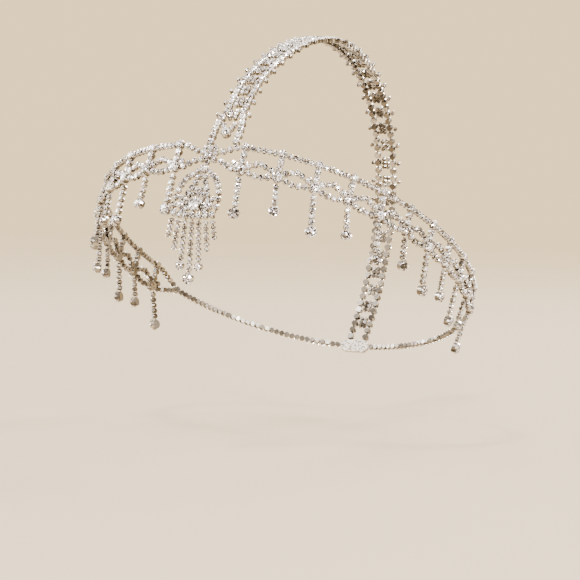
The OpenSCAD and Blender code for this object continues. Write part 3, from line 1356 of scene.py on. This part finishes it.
@dataclass
class Pendant:
    """The hanger, the bell of stones and the fringe at the front."""

    ring: BandRing
    bench: StoneBench
    shift: float = -0.5
    cap_depth: float = 6.4
    bell_depth: float = 24.4
    bell_cup: float = 5.2
    side_cup: float = 3.6
    upper_cup: float = 3.0
    small_cup: float = 1.9
    row_cup: float = 2.9
    row_lift: float = 1.0
    cap_cup: float = 3.6
    wing_cup: float = 2.1
    cap_wing: Place = (2.9, -1.0)
    outer_top: Place = (3.8, -2.4)
    outer_bend: Place = (10.4, 13.0)
    outer_end_shift: float = 0.9
    inner_top: float = 1.2
    inner_bend: Place = (1.8, 11.4)
    inner_end_shift: float = -0.3
    hanger_gap: float = 0.4
    halo_stones: int = 8
    halo_from: float = -15.0
    side_place: Place = (6.3, 0.6)
    upper_place: Place = (4.3, 5.9)
    top_place: Place = (0.0, 6.2)
    wing_place: Place = (7.2, 4.1)
    fill_places: tuple[Place, ...] = ((5.2, 3.2), (5.05, -1.85), (2.05, 6.1))
    crest_place: Place = (1.1, 8.3)
    stone_gap: float = 0.2
    fringe_stone: float = 2.05
    fringe_step: float = 2.2
    fringe_pitch: float = 3.0
    fringe_lengths: tuple[float, ...] = (10.6, 15.3, 21.3, 26.3)
    mid_cup: float = 4.8
    beside_cup: float = 3.6
    fringe_lean: float = 0.05
    fringe_fan: float = 0.06
    fringe_slant_gap: float = 0.4
    fringe_reach: float = 0.5
    fringe_stub: float = -0.8
    # Painted shade: the fringe's links are dark between its stones
    fringe_bar_tone: float = 0.3

    @property
    def outside(self) -> int:
        """Number of the outside fringe chain, counted from the middle one."""
        return len(self.fringe_lengths) - 1

    @property
    def numbers(self) -> range:
        """Numbers of the fringe chains, below 0 on the right."""
        return range(-self.outside, self.outside + 1)

    @cached_property
    def halo(self) -> list[Place]:
        """Places of the small stones over the middle stone.

        Returns:
            The places, from the left to the right.
        """
        radius = self.bell_cup / 2 + self.small_cup / 2 + self.stone_gap
        step = (180 - 2 * self.halo_from) / (self.halo_stones - 1)
        return around(radius, [self.halo_from + i * step for i in range(self.halo_stones)])

    @cached_property
    def row(self) -> list[Place]:
        """Places of the stones from which the fringe hangs.

        Returns:
            The places, from the right to the left.
        """
        deep = self.bell_cup / 2 + self.row_cup / 2 + self.stone_gap
        return [
            (i * self.fringe_pitch, self.row_lift * (i / self.outside) ** 2 - deep)
            for i in self.numbers
        ]

    def _front(self, place: Place) -> Vector:
        """The point of a flat place of the bell."""
        return self.ring.front_point(self.shift + place[0], place[1] - self.bell_depth)

    def hanger(self) -> None:
        """Builds the cap cluster and its four chains."""
        strand = Strand(self.bench, Seed.HANGER)
        at = self.ring.front_frame(self.shift, -self.cap_depth)
        strand.cluster(at, [(0.0, 0.0)], self.cap_cup)
        strand.cluster(at, both(self.cap_wing), self.wing_cup)
        for wing in both(self.cap_wing):
            strand.solder(at, (0.0, 0.0), wing)
        cap, gap = self.bell_depth - self.cap_depth, self.hanger_gap
        row_x, row_y = self.row[-1]
        upper_x, upper_y = self.upper_place
        outer = (
            (self.outer_top[0], cap + self.outer_top[1]),
            self.outer_bend,
            (row_x + self.outer_end_shift, row_y + self.row_cup / 2 + gap),
        )
        inner = (
            (self.inner_top, cap - self.cap_cup / 2 - gap),
            self.inner_bend,
            (upper_x + self.inner_end_shift, upper_y + self.upper_cup / 2 + gap),
        )
        out = self.ring.facing(0)
        for sign in (-1, 1):
            for chain in (outer, inner):
                bend = [self._front((sign * x, y)) for x, y in chain]
                strand.row(lambda t, bend=bend: swing(*bend, t), lambda t: out)
        strand.finish("pendant_hanger")

    def bell(self) -> None:
        """Builds the bell with its round middle stone."""
        strand = Strand(self.bench, Seed.BELL)
        at = self.ring.front_frame(self.shift, -self.bell_depth)
        sides, uppers = both(self.side_place), both(self.upper_place)
        wings = both(self.wing_place)
        middle = (0.0, 0.0)
        strand.cluster(at, [middle], self.bell_cup)
        strand.cluster(at, self.halo, self.small_cup)
        strand.cluster(at, sides, self.side_cup)
        strand.cluster(at, uppers, self.upper_cup)
        strand.cluster(at, [self.top_place, *wings], self.small_cup)
        strand.cluster(at, self.row, self.row_cup)
        for place in (*self.fill_places, self.crest_place):
            strand.cluster(at, both(place), self.small_cup)
        strand.solder_along(at, self.halo)
        strand.solder_along(at, self.row)
        arch = [sides[0], wings[0], uppers[0], self.top_place]
        arch += [uppers[1], wings[1], sides[1]]
        strand.solder_along(at, arch)
        crests = both(self.crest_place)
        strand.solder_along(at, [crests[0], self.top_place, crests[1]])
        strand.solder(at, sides[1], sides[0])
        strand.solder(at, middle, self.row[self.outside])
        for upper, side_stone, end in zip(uppers, sides, (self.row[-2], self.row[1])):
            strand.solder(at, middle, upper)
            strand.solder(at, side_stone, end)
        for fill, wing in zip(both(self.fill_places[0]), wings):
            strand.solder_along(at, [middle, fill, wing])
        strand.finish("pendant_bell")

    def _fringe_way(self, i: int) -> Vector:
        """The way in which fringe chain i hangs."""
        return Vector((i * self.fringe_fan, -self.fringe_lean, -1)).normalized()

    def _fringe_point(self, i: int, run: float) -> Vector:
        """The point of fringe chain i at a length from its top."""
        return self._front(self.row[i + self.outside]) + self._fringe_way(i) * run

    def _length(self, i: int) -> float:
        """Length of fringe chain i."""
        return self.fringe_lengths[self.outside - abs(i)]

    def _end_cup(self, i: int) -> float:
        """Width of the end cup of fringe chain i, or 0 where it has none."""
        return {0: self.mid_cup, 1: self.beside_cup}.get(abs(i), 0.0)

    def fringe(self) -> None:
        """Builds the seven chains of the fringe."""
        strand = Strand(self.bench, Seed.FRINGE, self.fringe_bar_tone)
        out = Vector((0, -1, 0))
        clear = self.row_cup / 2 + GAP + self.fringe_slant_gap
        for i in self.numbers:
            cup = self._end_cup(i)
            start = self._fringe_point(i, clear)
            end = self._fringe_point(i, self._length(i) - (cup / 2 + GAP if cup else 0))
            strand.row(
                lambda t, a=start, b=end: a.lerp(b, t),
                lambda t: out,
                self.fringe_stone,
                self.fringe_step,
                reach=self.fringe_reach if cup else self.fringe_stub,
            )
        strand.finish("fringe_chains")

    def fringe_ends(self) -> None:
        """Builds the three large stones at the ends of the fringe."""
        strand = Strand(self.bench, Seed.FRINGE_ENDS)
        out = Vector((0, -1, 0))
        for i in (-1, 0, 1):
            end = self._fringe_point(i, self._length(i))
            at = standing(end, out, self._fringe_way(i))
            strand.set_stone(at, self._end_cup(i))
        strand.finish("fringe_stones")


# The strap


@dataclass
class CrownStrap:
    """The ladder of two rails and rungs over the crown."""

    arc: CrownArc
    bench: StoneBench
    spacing: float = 7.8
    flare: float = 2.0
    flare_end: float = 27.0
    flare_length: float = 9.0
    rail_size: float = 3.2
    rail_stone: float = 3.3
    rail_pitch: float = 3.85
    left_start: float = 6.6
    right_start: float = 5.6
    clasp_width: float = 6.0
    end_gap: float = 0.7
    edge_gap: float = 0.3
    rung_pitch: float = 9.2
    first_rung: float = 24.8
    last_rung_room: float = 12.0
    rung_size: float = 2.0
    rung_rows: tuple[float, ...] = (-1.95, 0.0, 1.95)
    ear_cup: float = 1.8
    ear_end: float = 275.0
    tip_place: float = 12.8
    tip_cup: float = 4.4
    tip_stone: float = 2.3
    tip_arm: tuple[Place, ...] = ((1.6, 3.1), (2.5, 5.3))

    def rail_place(self, run: float) -> float:
        """How far a rail lies from the middle of the strap."""
        share = (self.flare_end - run) / self.flare_length
        return self.spacing / 2 + self.flare * max(0.0, min(1.0, share))

    def rail(self, side: Side) -> None:
        """Builds one rail.

        Args:
            side: Side of the strap.
        """
        strand = Strand(self.bench, Seed.RAIL + side.value)
        start = self.left_start if side is Side.LEFT else self.right_start
        end = self.arc.length - self.clasp_width / 2 - self.end_gap
        span = end - start

        def place(t: float) -> Vector:
            """The point at a share of the rail."""
            run = start + t * span
            return self.arc.point(run, side.value * self.rail_place(run))

        strand.row(
            place,
            lambda t: self.arc.facing(start + t * span),
            self.rail_stone,
            self.rail_pitch,
            base=self.rail_size / 2,
        )
        strand.finish(f"crown_rail_{side.label}")

    def rungs(self) -> None:
        """Builds the rungs and the pointed front tip between the rails."""
        strand = Strand(self.bench, Seed.RUNGS)
        run = self.first_rung
        while run <= self.arc.length - self.last_rung_room:
            self._rung(strand, run)
            run += self.rung_pitch
        at = self.arc.frame(self.tip_place)
        for sign in (-1, 1):
            arm = [(sign * x, y) for x, y in self.tip_arm]
            strand.cluster(at, arm, self.tip_stone)
            strand.solder_along(at, [(0.0, 0.0), *arm])
        strand.set_stone(at, self.tip_cup)
        strand.finish("crown_rungs")

    def _rung(self, strand: Strand, run: float) -> None:
        """Sets one rung and the small stones at its ends, outside the rails.

        Args:
            strand: The piece that takes the rung.
            run: Length along the strap to the rung.
        """
        at = self.arc.frame(run)
        half = self.rung_size / 2
        edge = self.rail_size / 2 + self.edge_gap
        inner = self.rail_place(run) - edge
        outer = self.rail_place(run) + edge
        stones = [(x, y) for x in (-inner / 2, inner / 2) for y in self.rung_rows]
        strand.cluster(at, stones, self.rung_size, half)
        bars = [(-inner, inner)]
        if run < self.ear_end:
            ear = outer + self.ear_cup / 2
            strand.cluster(at, [(-ear, 0.0), (ear, 0.0)], self.ear_cup)
            bars += [(-ear, -outer), (outer, ear)]
        for ends in bars:
            places = [at @ Vector((x, 0, 0)) for x in ends]
            strand.link(*places, self.arc.facing(run), half)


# The studio


@dataclass
class Studio:
    """Floor, soft lights and the camera."""

    azimuth: float = 23.3
    elevation: float = 3.44
    distance: float = 1.204
    roll: float = 0.04
    focal_px: float = 2633.0
    frame_px: float = 580.0
    target_px: Place = (287.0, 257.7)
    sensor: float = 36.0
    floor_gap: float = 0.03
    floor_size: float = 4.0
    lamps: tuple[Lamp, ...] = (
        ("key_light", (-1.6, -0.9, 1.2), 1.0, 36),
        ("fill_light", (1.5, -0.8, 0.6), 0.6, 45),
        ("side_light", (-1.6, 0.2, 0.5), 0.8, 16),
        ("back_light", (0.3, 1.4, 1.2), 0.7, 80),
        ("high_glint", (-0.2, -1.0, 1.7), 0.2, 40),
        ("front_glint", (0.7, -1.6, 0.5), 0.2, 30),
        ("left_glint", (1.7, -0.3, 1.3), 0.2, 30),
        ("right_glint", (-1.3, -1.3, 0.2), 0.15, 9),
        ("low_glint", (0.1, -1.7, 0.1), 0.16, 14),
    )
    backdrop: str = "#A18C69"
    panels: Stops = ((0.44, "#261D17"), (0.54, "#FFF4E4"))
    panels_from: float = 0.12
    panels_full: float = 0.3
    panel_scale: float = 5.5
    air_strength: float = 5.2

    def floor(self) -> None:
        """Lays the floor a little below the lowest drops."""
        bm = bmesh.new()
        bmesh.ops.create_grid(bm, x_segments=1, y_segments=1, size=self.floor_size / 2)
        low = SOLID_BOX[0].z - self.floor_gap
        bmesh.ops.translate(bm, vec=(0, 0, low), verts=bm.verts)
        mesh = mesh_from(bm, "paper_floor", PaperFloor().build())
        add_object("paper_floor", mesh)

    def lights(self) -> None:
        """Hangs the soft lights and small bright ones for the glints."""
        for name, place, size, power in self.lamps:
            self._area(name, place, size, power)
        self._air()

    def _air(self) -> None:
        """Surrounds the object with a pale backdrop and, higher, with panels.

        The panels are bright and dark patches of the room over the backdrop.
        The facets of the stones and the cups mirror them.
        """
        world = bpy.data.worlds.new("studio_air")
        world.use_nodes = True
        tree = world.node_tree
        tree.nodes.clear()
        way = add_node(tree, "TexCoord")
        patches = add_node(
            tree,
            "TexNoise",
            {"Scale": self.panel_scale, "Detail": 1.0},
            Vector=way.outputs["Generated"],
        )
        panels = add_node(tree, "ValToRGB", Fac=patches.outputs["Fac"])
        set_stops(panels.color_ramp, self.panels)
        parts = add_node(tree, "SeparateXYZ", Vector=way.outputs["Generated"])
        above = add_node(
            tree,
            "MapRange",
            {
                "interpolation_type": "SMOOTHSTEP",
                "From Min": self.panels_from,
                "From Max": self.panels_full,
            },
            Value=parts.outputs["Z"],
        )
        color = add_node(
            tree,
            "Mix",
            {"data_type": "RGBA", "A": linear(self.backdrop)},
            Factor=above.outputs["Result"],
            B=panels.outputs["Color"],
        )
        air = add_node(
            tree,
            "Background",
            {"Strength": self.air_strength},
            Color=socket(color.outputs, "Result"),
        )
        add_node(tree, "OutputWorld", Surface=air.outputs["Background"])
        bpy.context.scene.world = world

    def _area(
        self, name: str, place: tuple[float, float, float], size: float, power: float
    ) -> None:
        """Adds an area light that faces the object.

        Args:
            name: The light's name.
            place: Where it hangs, in metres.
            size: Its width in metres.
            power: Its power in watts.
        """
        data = bpy.data.lights.new(name, "AREA")
        data.shape = "DISK"
        data.size = size
        data.energy = power
        light = add_object(name, data)
        light.location = place
        light.rotation_euler = (-Vector(place)).to_track_quat("-Z", "Y").to_euler()

    def camera(self) -> None:
        """Places the camera at the photographed angle."""
        flat = cosine(self.elevation)
        right = Vector((cosine(self.azimuth), sine(self.azimuth), 0))
        back = Vector((right.y * flat, -right.x * flat, sine(self.elevation)))
        up = back.cross(right)
        x = right * math.cos(self.roll) + up * math.sin(self.roll)
        y = up * math.cos(self.roll) - right * math.sin(self.roll)
        turn = Matrix((x, y, back)).transposed().to_4x4()
        aside, above = (self.frame_px / 2 - p for p in self.target_px)
        aim = Matrix.Rotation(-math.atan(above / self.focal_px), 4, "X")
        aim = aim @ Matrix.Rotation(-math.atan(aside / self.focal_px), 4, "Y")
        data = bpy.data.cameras.new("camera")
        data.sensor_width = self.sensor
        data.lens = self.focal_px / self.frame_px * self.sensor
        camera = add_object("camera", data)
        camera.matrix_world = Matrix.Translation(back * self.distance) @ turn @ aim
        bpy.context.scene.camera = camera


def plate_clasp() -> None:
    """Plates the solid of the clasp, which is shown as it is."""
    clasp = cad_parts["back_clasp"]
    clasp.data.materials.clear()
    # The clasp's tone comes only from the noise patches of painted reflection
    plate = SilverPlate("plain_silver_plate", facet_share=0.0)
    clasp.data.materials.append(plate.build())
    log.info("%s: plated solid", clasp.name)


def main() -> None:
    """Builds the dressed head chain and the studio."""
    logging.basicConfig(level=logging.INFO, format="%(message)s")
    silver = SilverPlate().build()
    bench = StoneBench(silver, FoiledCrystal().build())
    ring = BandRing()
    post = Post(ring, bench)
    band = Band(ring, bench, post)
    drop = Drop(ring, bench, post)
    band.knot()
    for side in Side:
        band.upper(side)
        band.middle(side)
        band.lower(side)
        for i in range(1, post.count + 1):
            post.build(side, i)
            drop.build(side, i)
    band.joins()
    pendant = Pendant(ring, bench)
    pendant.hanger()
    pendant.bell()
    pendant.fringe()
    pendant.fringe_ends()
    strap = CrownStrap(CrownArc(ring), bench)
    for side in Side:
        strap.rail(side)
    strap.rungs()
    plate_clasp()
    studio = Studio()
    studio.floor()
    studio.lights()
    studio.camera()


if __name__ == "__main__":
    main()
